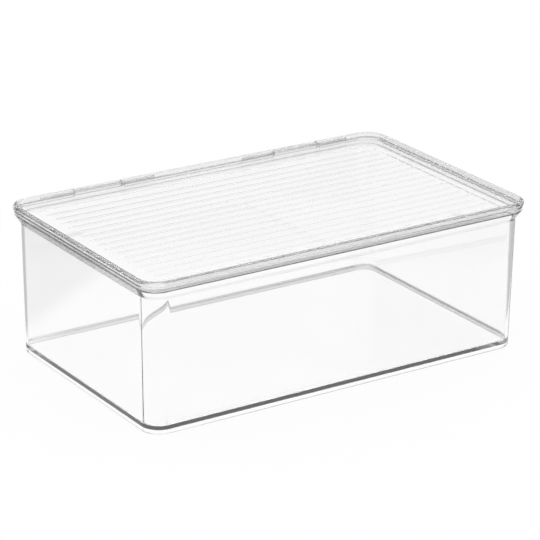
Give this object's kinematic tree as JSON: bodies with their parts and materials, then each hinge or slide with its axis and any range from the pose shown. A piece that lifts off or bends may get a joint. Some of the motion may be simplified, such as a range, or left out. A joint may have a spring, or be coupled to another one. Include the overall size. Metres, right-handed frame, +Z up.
{
  "type": "stackable storage box",
  "caption": "Clear rectangular storage box with drafted walls, a flared rim and a hinged lid whose ribbed, sunken panel takes the foot of another box stacked on it.",
  "frame": {"origin": "on the ground under the middle of the lid's outline", "axes": "+X along the long side, +Y from the front to the hinged rear, +Z up"},
  "size_m": [0.34, 0.21, 0.1188],
  "materials": {
    "tray_plastic": "clear, colourless, polished",
    "lid_plastic": "clear, colourless, polished",
    "pin_plastic": "clear, colourless, polished"
  },
  "bodies": {
    "tray": {"tray": "tray_plastic", "hinge_pin_left": "pin_plastic", "hinge_pin_right": "pin_plastic"},
    "lid": {"lid": "lid_plastic"}
  },
  "joints": [
    {"name": "lid_hinge", "type": "hinge", "parent": "tray", "child": "lid", "pos_m": [0, 0.1028, 0.1166], "axis": [-1, 0, 0], "range_deg": [0, 130]}
  ]
}
